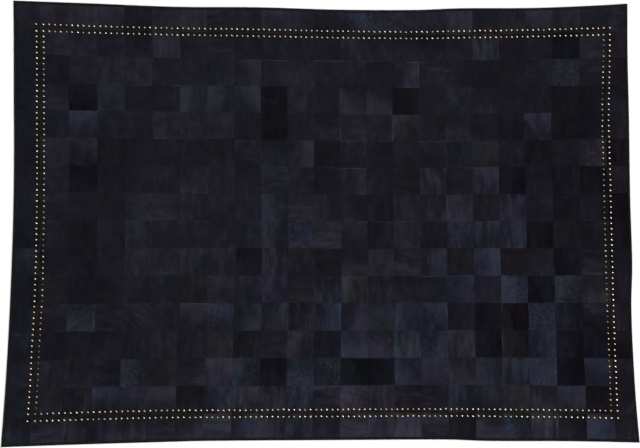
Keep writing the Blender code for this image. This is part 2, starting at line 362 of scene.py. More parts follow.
# How much paler parts of the rug are than the rest, by columns and rows
TRENDS = [
    (np.s_[:, -1], 0.06),
    (np.s_[1:-1, 0], 0.10),
    (np.s_[0, 1:-1], -0.06),
    (np.s_[-1, 1:-1], -0.12),
    (np.s_[-1, 3:9], -0.08),
    (np.s_[19:-1, 4:14], -0.14),
    (np.s_[1:4, 1:11], -0.08),
]
BORDER_TINTS = [(np.s_[0], "teal"), (np.s_[-1], "pink"), (np.s_[:, -1], "mauve")]


def patch_facts():
    """Hair direction, tone and the rest of each patch, as arrays of columns by rows."""
    random = np.random.RandomState(23)
    shape = (COLUMNS, ROWS)
    column, row = np.meshgrid(np.arange(COLUMNS), np.arange(ROWS), indexing="ij")
    # Painted sheen grows towards the front right: there the tones spread wider, and the streaks,
    # flecks, pale sides and tints are stronger
    sheen_contrast = np.clip(0.40 + 0.30 * (column / 11 - 1) - 0.55 * (row / 7.5 - 1), 0, 1)
    lie = random.uniform(0, 1, shape)
    angle = np.where(lie < 0.76, math.pi / 2, 0) + random.normal(0, 0.07, shape)
    angle = np.where(lie > 0.95, random.uniform(0, math.pi, shape), angle)
    tints = np.array(list(TINTS.values()))
    common = random.choice(4, shape, p=(0.50, 0.22, 0.18, 0.10))
    second = random.choice(5, shape, p=(0.35, 0.15, 0.25, 0.15, 0.10))
    facts = {
        "angle": angle,
        "tone": 0.465 + 0.02 * sheen_contrast + random.normal(0, 1, shape) * (0.07 + 0.05 * sheen_contrast),
        "streaks": (0.04 + 0.07 * sheen_contrast) * random.uniform(0.4, 1.8, shape),
        "flecks": (0.01 + 0.03 * sheen_contrast) * random.uniform(0, 1, shape) ** 2,
        "sheen_slope": (0.09 + 0.13 * sheen_contrast) * random.uniform(0.2, 1.3, shape),
        "sheen_turn": random.choice(list(SIDES.values()), shape) + random.normal(0, 0.3, shape),
        "bend": random.normal(0, 0.05, shape),
        "whorl": np.abs(random.normal(0, 0.0012, shape)),
        "tint": 1 + (tints[common] - 1) * random.uniform(0.4, 1.1, (*shape, 1)),
        "blotch": tints[second],
        "offset": random.uniform(0, 3, (*shape, 2)),
        "rise": np.clip(random.normal(0, 0.00016, shape), -0.0003, 0.0003),
        "seam_light": random.uniform(0, 1, (*shape, 4)),
    }
    for part, change in TRENDS:
        facts["tone"][part] += change
    for part, tint in BORDER_TINTS:
        facts["tint"][part] = TINTS[tint]
    for mark in MARKS:
        patch = mark.column, mark.row
        if mark.tone:
            facts["tone"][patch] = TONES[mark.tone]
        if mark.side:
            facts["sheen_turn"][patch] = SIDES[mark.side] + random.normal(0, 0.35)
            facts["sheen_slope"][patch] = 0.25
        if mark.tint:
            facts["tint"][patch] = TINTS[mark.tint]
            facts["blotch"][patch] = (facts["blotch"][patch] + TINTS[mark.tint]) / 2
            facts["angle"][patch] = math.pi / 2 + random.normal(0, 0.07)
        if mark.feel:
            facts["streaks"][patch], facts["flecks"][patch], facts["whorl"][patch] = FEELS[mark.feel]
    facts["tone"] = np.clip(facts["tone"], 0.03, 0.95)
    strength = np.clip(0.58 + 0.55 * sheen_contrast, 0, 1.05)[1:-1, 1:-1, None]
    for name in ("tint", "blotch"):
        facts[name][1:-1, 1:-1] = 1 + (facts[name][1:-1, 1:-1] - 1) * strength
    for seam in PALE_SEAMS:
        for n in range(seam.run):
            patch = (seam.column + n, seam.row) if seam.side == "back" else (seam.column, seam.row + n)
            facts["seam_light"][(*patch, SEAM_ORDER.index(seam.side))] = 1.7
    return facts


def seam_wander():
    """How far each crossing of two seams strays from the straight grid.

    The border seam and the edge stay where the studs and the binding are.
    """
    random = np.random.RandomState(7)
    wander = np.clip(random.normal(0, 0.0010, (COLUMNS + 1, ROWS + 1, 2)), -0.0018, 0.0018)
    wander[[0, 1, -2, -1], :, 0] = 0
    wander[:, [0, 1, -2, -1], 1] = 0
    wander[[0, -1], :, 1] = 0
    wander[:, [0, -1], 0] = 0
    return wander


FACTS = patch_facts()
WANDER = seam_wander()

# How the mesh steps inwards from a seam, from the rug's edge, and from a seam where two sections
# of hide meet
SEAM_STEPS = np.array([0, 0.0005, 0.0012, 0.0022, 0.0036, 0.0060])
EDGE_STEPS = np.array([HIDE_EDGE, 0.0060, 0.0095, LIFT_DEPTH, FLAT_DEPTH, 0.0170])
MEETING_STEPS = np.array([0.00015, 0.0006, 0.0012, 0.0022, 0.0036, 0.0060])
MIDDLE_CELLS = 18
CELLS = MIDDLE_CELLS + 10
UNDER_STOPS = np.array([0, 3, 5, CELLS // 2, CELLS - 5, CELLS - 3, CELLS])

SEAM_DEPTH = 0.0007
SEAM_WIDTH = 0.0011
SHOULDER = 0.0003  # how far a patch rounds down towards its seams
SHOULDER_WIDTH = 0.0040
LOCK_RISE = 0.00016
RIPPLE = 0.00035
STUD_PULL = 0.0004  # how far the studs press the hide down


def steps_of(first, last, number, count):
    """The mesh's places along one patch from its low side, between its two kinds of side."""
    low = EDGE_STEPS if number == 0 else MEETING_STEPS if first else SEAM_STEPS
    high = EDGE_STEPS if number == count - 1 else MEETING_STEPS if last else SEAM_STEPS
    middle = np.linspace(low[-1], PATCH - high[-1], MIDDLE_CELLS + 1)[1:-1]
    return np.concatenate((low, middle, (PATCH - high)[::-1]))


def strayed(column, row, a, b):
    """Grid places on one patch, moved as its four corners stray."""
    s, t = (a / PATCH)[..., None], (b / PATCH)[..., None]
    corner = WANDER[column : column + 2, row : row + 2]
    front = corner[0, 0] * (1 - s) + corner[1, 0] * s
    back = corner[0, 1] * (1 - s) + corner[1, 1] * s
    stray = front * (1 - t) + back * t
    x = -HALF_X + PATCH * column + a + stray[..., 0]
    y = -HALF_Y + PATCH * row + b + stray[..., 1]
    return x, y


def from_seams(column, row, a, b):
    """How far places on a patch are from its left, right, front and back seam.

    There is no seam at the rug's edge, where they count as far off.
    """
    none = np.ones_like(a)
    return [
        a if column > 0 else none,
        PATCH - a if column < COLUMNS - 1 else none,
        b if row > 0 else none,
        PATCH - b if row < ROWS - 1 else none,
    ]


def patch_shade(column, row, a, b, x, y):
    """Tone and tint of one patch's hair, also a little way past its seams; its tone holds painted
    sheen.
    """
    fact = {name: values[column, row] for name, values in FACTS.items()}
    px, py = a - PATCH / 2, b - PATCH / 2
    sheen_slope = (px * math.cos(fact["sheen_turn"]) + py * math.sin(fact["sheen_turn"])) / PATCH
    # Painted sheen: the patch grows paler towards one side, where its nap would catch the light
    tone = fact["tone"] + fact["sheen_slope"] * 0.52 * np.tanh(4 * sheen_slope)
    tone = tone + 0.05 * smooth_noise(x / 0.028 + 60, y / 0.028 + 60, 11)
    blotch = smooth_noise(x / 0.045 + 60, y / 0.045 + 60, 2000 + column * ROWS + row)
    blotch = 0.7 * np.clip(0.5 + 1.6 * blotch, 0, 1)[..., None]
    return tone, fact["tint"] * (1 - blotch) + fact["blotch"] * blotch


def ripple(x, y):
    """How the laid hide rises and falls over its length."""
    return RIPPLE * smooth_noise(x / 0.17 + 30, y / 0.17 + 30, 5)


def seam_line(sides, seam_lights, x, y, seed):
    """How much darker, below 0, or paler a patch is in the lines along its seams: painted shade down
    in a seam, a painted highlight just beside it.
    """
    line = np.zeros_like(x)
    broken = 0.65 + 0.6 * smooth_noise(x / 0.031 + 60, y / 0.031 + 60, seed)
    for side, seam_light in zip(sides, seam_lights):
        line = line - 0.6 * np.clip(0.45 - seam_light, 0, 1) * np.exp(-((side / 0.0016) ** 2))
        pale = np.exp(-(((side - 0.0018) / 0.0014) ** 2))
        line = line + np.clip(seam_light - 0.78, 0, 1) * broken * pale
    return line


def patch_surface(column, row, across, up):
    """Places, heights, hair coordinates and shades of one patch's top, on its own mesh."""
    fact = {name: values[column, row] for name, values in FACTS.items()}
    a, b = np.meshgrid(across, up, indexing="ij")
    x, y = strayed(column, row, a, b)
    sides = from_seams(column, row, a, b)
    seam = np.minimum.reduce(sides)
    seed = 1000 + column * ROWS + row

    px, py = a - PATCH / 2, b - PATCH / 2
    turn = fact["angle"]
    along = px * math.cos(turn) + py * math.sin(turn)
    cross = py * math.cos(turn) - px * math.sin(turn) + fact["bend"] * along**2 / PATCH
    cross = cross + fact["whorl"] * smooth_noise(px / 0.030 + 9, py / 0.030 + 9, seed)
    along = along + fact["whorl"] * smooth_noise(px / 0.030 + 30, py / 0.030 + 30, seed)
    hair = np.stack((along, cross), axis=-1) + fact["offset"]

    locks = smooth_noise(along / 0.045 + 20, cross / 0.0100 + 20, seed)
    depth = np.minimum(HALF_X - np.abs(x), HALF_Y - np.abs(y))
    ring = np.abs(np.maximum(np.abs(x) - SEAM_X, np.abs(y) - SEAM_Y))
    z = HIDE_TOP + ripple(x, y)
    z = z + (1 - np.exp(-((seam / 0.004) ** 2))) * (fact["rise"] + LOCK_RISE * locks)
    z = z - SEAM_DEPTH * np.exp(-((seam / SEAM_WIDTH) ** 1.4))
    z = z - SHOULDER * np.exp(-seam / SHOULDER_WIDTH)
    z = z - STUD_PULL * np.exp(-(((ring - STUD_OFF_SEAM) / 0.0045) ** 2))
    z = np.where(depth <= FLAT_DEPTH + 1e-6, UNDER_BINDING, z)

    # Painted shade in the seams and painted highlights beside the pale ones, none along the border
    # seam
    line = seam_line(sides, fact["seam_light"], x, y, seed + 4)
    line = line * (1 - np.exp(-((ring / 0.004) ** 2)))

    tone, tint = patch_shade(column, row, a, b, x, y)
    next_tone, next_tint = tone, tint
    for side, (right, back) in zip(sides, ((-1, 0), (1, 0), (0, -1), (0, 1))):
        if 0 <= column + right < COLUMNS and 0 <= row + back < ROWS:
            there_a, there_b = a - right * PATCH, b - back * PATCH
            there = patch_shade(column + right, row + back, there_a, there_b, x, y)
            next_tone = np.where(side <= seam, there[0], next_tone)
            next_tint = np.where((side <= seam)[..., None], there[1], next_tint)
    outer = np.clip(1 - (HALF_Y - np.abs(y)) / 0.09, 0, 1) * (row in (0, ROWS - 1))
    tone, next_tone = tone + 0.10 * outer, next_tone + 0.10 * outer
    # Painted shade and a painted bronze glow of the studs in a band along the border seam: the tone
    # darker, the tint bronze
    stud_shade_and_glow = np.exp(-((ring / 0.016) ** 4))
    bronze = np.array(TINTS["bronze"]) * stud_shade_and_glow[..., None]
    shades = [tone - 0.10 * stud_shade_and_glow, next_tone - 0.10 * stud_shade_and_glow, line, np.minimum(seam, 0.02)]
    shades = np.stack(shades, axis=-1)
    tints = [shade * (1 - stud_shade_and_glow[..., None]) + bronze for shade in (tint, next_tint)]
    return np.stack((x, y, z), axis=-1), hair, np.concatenate((shades, *tints), axis=-1)


def underside_height(x, y, on_seam):
    """The height of the underside, lifted inside the binding and a little along the seams."""
    depth = np.minimum(HALF_X - np.abs(x), HALF_Y - np.abs(y))
    return np.where(depth <= LIFT_DEPTH + 1e-6, LIFTED_TO, np.where(on_seam, 0.0003, 0.0))


def numbered(shape, first=0):
    """Point numbers on a grid of this shape, counted from a first one."""
    return first + np.arange(shape[0] * shape[1]).reshape(shape)


def quads(numbers):
    """The cells of a grid of point numbers, anticlockwise from above."""
    corners = (numbers[:-1, :-1], numbers[1:, :-1], numbers[1:, 1:], numbers[:-1, 1:])
    return np.stack(corners, axis=-1).reshape(-1, 4)


def rim(numbers):
    """The outer points of a grid of point numbers, anticlockwise from the front left."""
    return np.concatenate((numbers[:-1, 0], numbers[-1, :-1], numbers[:0:-1, -1], numbers[0, :0:-1]))


def walls_between(top, under, stops):
    """Faces from the rim of an underside to the rim of its finer top."""
    under_rim, top_rim = rim(under), rim(top)
    turn = {number: n for n, number in enumerate(top_rim)}
    at = [turn[number] for number in rim(top[np.ix_(*stops)])] + [len(top_rim)]
    top_rim = np.append(top_rim, top_rim[0])
    faces = []
    for n, first in enumerate(under_rim):
        second = under_rim[(n + 1) % len(under_rim)]
        run = top_rim[at[n] : at[n + 1] + 1][::-1]
        faces.append([int(number) for number in (first, second, *run)])
    return faces


def store(mesh, label, values, domain="POINT"):
    """Keeps a number for each point or face on the mesh."""
    data = mesh.attributes.new(label, "FLOAT", domain).data
    data.foreach_set("value", np.array(values, dtype=float))


def linked(name, mesh):
    """A new object with this mesh in the scene."""
    made = bpy.data.objects.new(name, mesh)
    bpy.context.scene.collection.objects.link(made)
    return made


def hide_section(name, columns, rows, top, underside):
    """One sewn section of patches as a closed sheet, its underside coarser than its top."""
    across = [steps_of(c == columns[0], c == columns[-1], c, COLUMNS) for c in columns]
    up = [steps_of(r == rows[0], r == rows[-1], r, ROWS) for r in rows]
    shape = (len(columns) * CELLS + 1, len(rows) * CELLS + 1)
    points, shades = np.zeros((*shape, 3)), np.zeros((*shape, 10))
    numbers = numbered(shape)
    faces, hair_map, patches = [], [], []
    for i, column in enumerate(columns):
        for j, row in enumerate(rows):
            block = np.s_[i * CELLS : (i + 1) * CELLS + 1, j * CELLS : (j + 1) * CELLS + 1]
            points[block], hair, shades[block] = patch_surface(column, row, across[i], up[j])
            cells = quads(numbers[block])
            faces.append(cells)
            hair_map.append(hair.reshape(-1, 2)[quads(numbered(hair.shape[:2])).ravel()])
            patches += [(column, row)] * len(cells)
    tops = np.concatenate(faces)

    stops = []
    for run in (columns, rows):
        stops.append(np.unique(np.concatenate([n * CELLS + UNDER_STOPS for n in range(len(run))])))
    below = points[np.ix_(*stops)].copy()
    seam_x, seam_y = (stop % CELLS == 0 for stop in stops)
    below[..., 2] = underside_height(below[..., 0], below[..., 1], seam_x[:, None] | seam_y[None, :])
    under = numbered(below.shape[:2], numbers.size)
    under_faces = quads(under)[:, ::-1].tolist()
    wall_faces = walls_between(numbers, under, stops)

    flat = np.concatenate((points.reshape(-1, 3), below.reshape(-1, 3)))
    verts = np.column_stack((place(flat[:, 0], flat[:, 1]), flat[:, 2]))
    mesh = bpy.data.meshes.new(name)
    mesh.from_pydata(verts.tolist(), [], tops.tolist() + under_faces + wall_faces)
    mesh.materials.append(top)
    mesh.materials.append(underside)
    slots = np.ones(len(mesh.polygons), dtype=np.int32)
    slots[: len(tops)] = 0
    mesh.polygons.foreach_set("material_index", slots)

    corner_points = np.zeros(len(mesh.loops), dtype=np.int32)
    mesh.loops.foreach_get("vertex_index", corner_points)
    uv = flat[corner_points, :2].copy()
    uv[: 4 * len(tops)] = np.concatenate(hair_map)
    mesh.uv_layers.new(name="hair").data.foreach_set("uv", uv.ravel())
    values = np.zeros((len(verts), 10))
    values[: numbers.size] = shades.reshape(-1, 10)
    for n, label in enumerate(("tone", "next tone", "line", "seam distance")):
        store(mesh, label, values[:, n])
    for n, label in ((4, "tint"), (7, "next tint")):
        colours = np.column_stack((values[:, n : n + 3], np.ones(len(verts))))
        data = mesh.attributes.new(label, "FLOAT_COLOR", "POINT").data
        data.foreach_set("color", colours.ravel())
    for label in ("streaks", "flecks"):
        values = np.zeros(len(mesh.polygons))
        values[: len(tops)] = [FACTS[label][patch] for patch in patches]
        store(mesh, label, values, "FACE")
    mesh.shade_smooth()
    mesh.set_sharp_from_angle(angle=math.radians(55))
    return linked(name, mesh)


def sew_rug(field_top, border_top, underside):
    """All the sections of hide: six in the field, and one strip on each side of it."""
    for i in range(3):
        for j in range(2):
            columns, rows = range(1 + 7 * i, 8 + 7 * i), range(1 + 7 * j, 8 + 7 * j)
            section = hide_section(f"field_hide_{2 * i + j + 1}", columns, rows, field_top, underside)
            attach(section, "root")
            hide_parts("field")
    strips = {
        "border_back": (range(COLUMNS), [ROWS - 1]),
        "border_front": (range(COLUMNS), [0]),
        "border_left": ([0], range(1, ROWS - 1)),
        "border_right": ([COLUMNS - 1], range(1, ROWS - 1)),
    }
    for node, (columns, rows) in strips.items():
        strip = hide_section(node + "_hide", columns, rows, border_top, underside)
        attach(strip, "root")
        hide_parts(node)


# Shader groups and materials

# Colours along a shade, from dark to pale
HAIR = [
    (0.0, (0.0025, 0.0023, 0.0038)),
    (0.5, (0.0089, 0.0083, 0.0128)),
    (1.0, (0.0293, 0.0298, 0.0449)),
]
SUEDE = [
    (0.25, (0.030, 0.028, 0.030)),
    (0.55, (0.060, 0.055, 0.055)),
    (0.85, (0.105, 0.096, 0.092)),
]
LEATHER = [(0.0, (0.0014, 0.0013, 0.0020)), (1.0, (0.0085, 0.0080, 0.0110))]
THREAD = [(0.0, (0.008, 0.008, 0.011)), (1.0, (0.050, 0.048, 0.055))]
BRASS = [
    (0.0, (0.13, 0.106, 0.082)),
    (0.25, (0.38, 0.325, 0.245)),
    (0.625, (0.65, 0.57, 0.445)),
    (1.0, (0.92, 0.825, 0.67)),
]
# Single colours
# Painted shade down in the seams of the hair
PAINTED_SEAM_SHADE = (0.0008, 0.0007, 0.0012, 1)
IN_SUEDE_SEAM = (0.010, 0.009, 0.010, 1)
ZIGZAG_THREAD = (0.16, 0.15, 0.145, 1)
PRONG_METAL = (0.30, 0.25, 0.17, 1)
STUD_GRIME = (0.050, 0.040, 0.030, 1)

# How far the zigzag thread reaches to either side of its seam, and how far one slant runs on
ZIGZAG = 0.0026


def new_group(name, inputs, outputs):
    """An empty shader group with these named inputs and outputs, and its two end nodes."""
    tree = bpy.data.node_groups.new(name, "ShaderNodeTree")
    for label, kind in inputs.items():
        tree.interface.new_socket(label, in_out="INPUT", socket_type="NodeSocket" + kind)
    for label, kind in outputs.items():
        tree.interface.new_socket(label, in_out="OUTPUT", socket_type="NodeSocket" + kind)
    return tree, tree.nodes.new("NodeGroupInput"), tree.nodes.new("NodeGroupOutput")


def connect(tree, node, inputs):
    """Sets a node's inputs to values, or links them to other nodes."""
    for name, value in inputs.items():
        if isinstance(value, bpy.types.NodeSocket):
            tree.links.new(value, node.inputs[name])
        else:
            node.inputs[name].default_value = value


def add(tree, kind, inputs=None, **settings):
    """A node with its settings made and its inputs set or linked."""
    node = tree.nodes.new(kind)
    for name, value in settings.items():
        setattr(node, name, value)
    connect(tree, node, inputs or {})
    return node


def calc(tree, operation, *values):
    """The result of one sum."""
    return add(tree, "ShaderNodeMath", dict(enumerate(values)), operation=operation).outputs[0]


def faded(tree, value, near, far):
    """1 up to near and 0 from far on, with a straight fall between."""
    values = {"Value": value, "From Min": near, "From Max": far, "To Min": 1.0, "To Max": 0.0}
    return add(tree, "ShaderNodeMapRange", values).outputs[0]


def blended(tree, share, first, second, blend_type="MIX"):
    """Two colours mixed, or blended in another way, by a share of the second."""
    settings = {"data_type": "RGBA", "blend_type": blend_type}
    return add(tree, "ShaderNodeMix", {0: share, 6: first, 7: second}, **settings).outputs[2]


def colours_along(tree, value, stops):
    """The colour at a value along a row of stops."""
    ramp = add(tree, "ShaderNodeValToRGB", {"Fac": value})
    elements = ramp.color_ramp.elements
    while len(elements) < len(stops):
        elements.new(0.5)
    for element, (position, colour) in zip(elements, stops):
        element.position = position
        element.color = (*colour, 1)
    return ramp.outputs["Color"]


def bumped(tree, height):
    """The normal over a height in metres."""
    return add(tree, "ShaderNodeBump", {"Strength": 1.0, "Distance": 1.0, "Height": height}).outputs[0]


def flat_noise(tree, at, **values):
    """Noise over flat coordinates."""
    node = add(tree, "ShaderNodeTexNoise", {"Vector": at, **values}, noise_dimensions="2D")
    return node.outputs["Fac"]


def attribute(tree, name):
    return add(tree, "ShaderNodeAttribute", attribute_name=name).outputs["Fac"]


def streak_group():
    """Soft streaks from about -1 to 1, with so many to a metre along and across."""
    inputs = {"Coordinates": "Vector", "Along": "Float", "Across": "Float"}
    tree, start, end = new_group("Streaks", inputs, {"Value": "Float"})
    given = start.outputs
    density = add(tree, "ShaderNodeCombineXYZ", {"X": given["Along"], "Y": given["Across"]})
    values = {0: given["Coordinates"], 1: density.outputs[0]}
    at = add(tree, "ShaderNodeVectorMath", values, operation="MULTIPLY")
    noise = flat_noise(tree, at.outputs[0], Scale=1.0, Detail=1.5)
    connect(tree, end, {"Value": calc(tree, "MULTIPLY_ADD", noise, 3.4, -1.7)})
    return tree


STREAKS = streak_group()


def streaks(tree, coordinates, along, across):
    """The soft streaks at coordinates in metres, with so many to a metre along and across."""
    values = {"Coordinates": coordinates, "Along": along, "Across": across}
    return add(tree, "ShaderNodeGroup", values, node_tree=STREAKS).outputs[0]


SHADES = ("Tone", "Next tone", "Line", "Seam distance", "Streaks", "Flecks")


def hair_group():
    """Short hair lying along the patch's own direction, darker and paler in streaks and flecks."""
    inputs = {"Coordinates": "Vector", "Tint": "Color", "Next tint": "Color"}
    inputs.update({label: "Float" for label in SHADES})
    outputs = {"Colour": "Color", "Roughness": "Float", "Normal": "Vector"}
    tree, start, end = new_group("Hair coat", inputs, outputs)
    given = start.outputs
    densities = ((24, 36), (9, 46), (22, 110), (36, 400), (90, 2300), (75, 105))
    clouds, wide, locks, tufts, strands, flecks = (
        streaks(tree, given["Coordinates"], *density) for density in densities
    )
    flecks = calc(tree, "MULTIPLY", flecks, calc(tree, "MULTIPLY_ADD", clouds, 0.6, 1.0))
    reach = calc(tree, "MULTIPLY_ADD", tufts, 0.0016, calc(tree, "MULTIPLY", strands, 0.0008))
    lapped = calc(tree, "MULTIPLY", calc(tree, "SUBTRACT", reach, given["Seam distance"]), 1600.0)
    lapped = calc(tree, "MAXIMUM", calc(tree, "MINIMUM", calc(tree, "ADD", lapped, 0.5), 1.0), 0.0)
    change = calc(tree, "SUBTRACT", given["Next tone"], given["Tone"])
    tone = calc(tree, "MULTIPLY_ADD", change, lapped, given["Tone"])
    tint = blended(tree, lapped, given["Tint"], given["Next tint"])
    wide = calc(tree, "MULTIPLY_ADD", locks, 0.45, wide)
    shade = calc(tree, "MULTIPLY_ADD", given["Streaks"], wide, tone)
    shade = calc(tree, "MULTIPLY_ADD", given["Flecks"], flecks, shade)
    shade = calc(tree, "MULTIPLY_ADD", clouds, 0.075, shade)
    shade = calc(tree, "MULTIPLY_ADD", tufts, 0.05, shade)
    shade = calc(tree, "MULTIPLY_ADD", strands, 0.20, shade)
    # Painted highlight beside the pale seams
    shade = calc(tree, "MULTIPLY_ADD", calc(tree, "MAXIMUM", given["Line"], 0.0), 0.50, shade)
    colour = colours_along(tree, shade, HAIR)
    here = calc(tree, "MULTIPLY_ADD", clouds, 0.45, 0.75)
    colour = blended(tree, calc(tree, "MINIMUM", here, 1.0), colour, tint, "MULTIPLY")
    # Painted shade down in the seams, broken by the strands
    seam_shade = calc(tree, "MULTIPLY", calc(tree, "MINIMUM", given["Line"], 0.0), -0.85)
    seam_shade = calc(tree, "MULTIPLY", seam_shade, calc(tree, "MULTIPLY_ADD", strands, 0.45, 0.8))
    colour = blended(tree, seam_shade, colour, PAINTED_SEAM_SHADE)
    height = calc(tree, "MULTIPLY", tufts, 0.00014)
    height = calc(tree, "MULTIPLY_ADD", strands, 0.00005, height)
    height = calc(tree, "MULTIPLY_ADD", locks, 0.00012, height)
    roughness = calc(tree, "MULTIPLY_ADD", tufts, 0.05, 0.56)
    values = {"Colour": colour, "Roughness": roughness, "Normal": bumped(tree, height)}
    connect(tree, end, values)
    return tree


def new_material(name, **constants):
    """A material with one shader, and its node tree and shader."""
    made = bpy.data.materials.new(name)
    made.use_nodes = True
    tree = made.node_tree
    shader = tree.nodes["Principled BSDF"]
    for label, value in constants.items():
        shader.inputs[label.replace("_", " ")].default_value = value
    return made, tree, shader


def hair_material(name, group):
    """Hide with its hair coat, which takes its shades from what each patch's mesh keeps."""
    made, tree, shader = new_material(
        name,
        Specular_IOR_Level=0.018,
        Anisotropic=0.55,
        Anisotropic_Rotation=0.25,
        Sheen_Weight=0.012,
        Sheen_Roughness=0.45,
        Sheen_Tint=(0.80, 0.84, 1.0, 1),
    )
    hair_map = add(tree, "ShaderNodeUVMap", uv_map="hair").outputs[0]
    values = {"Coordinates": hair_map}
    for label in ("Tint", "Next tint"):
        values[label] = add(tree, "ShaderNodeAttribute", attribute_name=label.lower()).outputs["Color"]
    for label in SHADES:
        values[label] = attribute(tree, label.lower())
    coat = add(tree, "ShaderNodeGroup", values, node_tree=group).outputs
    tangent = add(tree, "ShaderNodeTangent", direction_type="UV_MAP", uv_map="hair").outputs[0]
    values = {"Base Color": coat["Colour"], "Roughness": coat["Roughness"]}
    connect(tree, shader, {**values, "Normal": coat["Normal"], "Tangent": tangent})
    return made


def zigzag_group():
    """Masks of the zigzag thread over all the seams of one direction, and of the seams under it."""
    inputs = {"Across": "Float", "Along": "Float", "First seam": "Float"}
    tree, start, end = new_group("Zigzag", inputs, {"Thread": "Float", "Seam": "Float"})
    off = calc(tree, "SUBTRACT", start.outputs["Across"], start.outputs["First seam"])
    off = calc(tree, "WRAP", off, PATCH / 2, -PATCH / 2)
    swing = calc(tree, "PINGPONG", start.outputs["Along"], ZIGZAG)
    swing = calc(tree, "SUBTRACT", swing, ZIGZAG / 2)
    beside = calc(tree, "ABSOLUTE", calc(tree, "MULTIPLY_ADD", swing, -2.0, off))
    thread = faded(tree, beside, 0.0004, 0.0008)
    seam = faded(tree, calc(tree, "ABSOLUTE", off), 0.0003, 0.0012)
    connect(tree, end, {"Thread": thread, "Seam": seam})
    return tree


def prong_group():
    """A mask of the stud prongs bent over on the underside, along both rows of one direction."""
    inputs = {label: "Float" for label in ("Across", "Along", "Seam", "Run", "Pitch")}
    tree, start, end = new_group("Prongs", inputs, {"Prongs": "Float"})
    given = start.outputs
    off = calc(tree, "SUBTRACT", calc(tree, "ABSOLUTE", given["Across"]), given["Seam"])
    off = calc(tree, "SUBTRACT", calc(tree, "ABSOLUTE", off), STUD_OFF_SEAM)
    off = calc(tree, "ABSOLUTE", off)
    half = calc(tree, "MULTIPLY", given["Pitch"], 0.5)
    along = calc(tree, "ADD", given["Along"], given["Run"])
    along = calc(tree, "WRAP", along, half, calc(tree, "MULTIPLY", half, -1.0))
    along = calc(tree, "ABSOLUTE", along)
    bar = faded(tree, calc(tree, "MULTIPLY_ADD", along, 0.30, off), 0.0009, 0.0011)
    split = calc(tree, "GREATER_THAN", along, 0.0003)
    reach = calc(tree, "ADD", given["Run"], half)
    inside = calc(tree, "LESS_THAN", calc(tree, "ABSOLUTE", given["Along"]), reach)
    mask = calc(tree, "MULTIPLY", calc(tree, "MULTIPLY", bar, split), inside)
    connect(tree, end, {"Prongs": mask})
    return tree


def flesh_material():
    """The suede back of the dyed hides, with the seams' zigzag sewing and the studs' prongs."""
    made, tree, shader = new_material("suede underside", Specular_IOR_Level=0.15, Sheen_Weight=0.25)
    coordinates = add(tree, "ShaderNodeUVMap", uv_map="hair").outputs[0]
    parts = add(tree, "ShaderNodeSeparateXYZ", {0: coordinates}).outputs
    zigzag, prongs = zigzag_group(), prong_group()
    run_x, run_y = SEAM_X - STUD_OFF_SEAM, SEAM_Y - STUD_OFF_SEAM
    ways = [
        ("Y", "X", HALF_Y, SEAM_Y, run_x, 2 * run_x / (STUDS_X - 1)),
        ("X", "Y", HALF_X, SEAM_X, run_y, 2 * run_y / (STUDS_Y - 1)),
    ]
    thread = seam = metal = 0.0
    for across, along, half, ring, run, pitch in ways:
        at = {"Across": parts[across], "Along": parts[along]}
        sewn = add(tree, "ShaderNodeGroup", {**at, "First seam": -half}, node_tree=zigzag)
        thread = calc(tree, "MAXIMUM", thread, sewn.outputs["Thread"])
        seam = calc(tree, "MAXIMUM", seam, sewn.outputs["Seam"])
        row = {**at, "Seam": ring, "Run": run, "Pitch": pitch}
        bent = add(tree, "ShaderNodeGroup", row, node_tree=prongs)
        metal = calc(tree, "MAXIMUM", metal, bent.outputs[0])
    values = {0: coordinates, 1: (HALF_X, HALF_Y, 0)}
    values = {0: add(tree, "ShaderNodeVectorMath", values, operation="ADD").outputs[0]}
    values[1] = (PATCH, PATCH, PATCH)
    patch = add(tree, "ShaderNodeVectorMath", values, operation="SNAP").outputs[0]
    own = add(tree, "ShaderNodeTexWhiteNoise", {"Vector": patch}, noise_dimensions="2D")
    cloud = flat_noise(tree, coordinates, Scale=22.0, Detail=6.0, Roughness=0.65)
    nap = flat_noise(tree, coordinates, Scale=900.0, Detail=3.0)
    shade = calc(tree, "MULTIPLY_ADD", nap, 0.35, calc(tree, "MULTIPLY", cloud, 0.75))
    own_shade = calc(tree, "MULTIPLY_ADD", own.outputs["Value"], 0.30, -0.15)
    colour = colours_along(tree, calc(tree, "ADD", shade, own_shade), SUEDE)
    colour = blended(tree, 0.08, colour, own.outputs["Color"], "SOFT_LIGHT")
    colour = blended(tree, seam, colour, IN_SUEDE_SEAM)
    colour = blended(tree, thread, colour, ZIGZAG_THREAD)
    colour = blended(tree, metal, colour, PRONG_METAL)
    height = calc(tree, "MULTIPLY", nap, 0.00015)
    height = calc(tree, "MULTIPLY_ADD", thread, 0.00030, height)
    height = calc(tree, "MULTIPLY_ADD", seam, -0.00030, height)
    height = calc(tree, "MULTIPLY_ADD", metal, 0.00040, height)
    roughness = calc(tree, "MULTIPLY_ADD", metal, -0.50, 0.95)
    finish = {"Base Color": colour, "Roughness": roughness, "Normal": bumped(tree, height)}
    connect(tree, shader, finish)
    return made


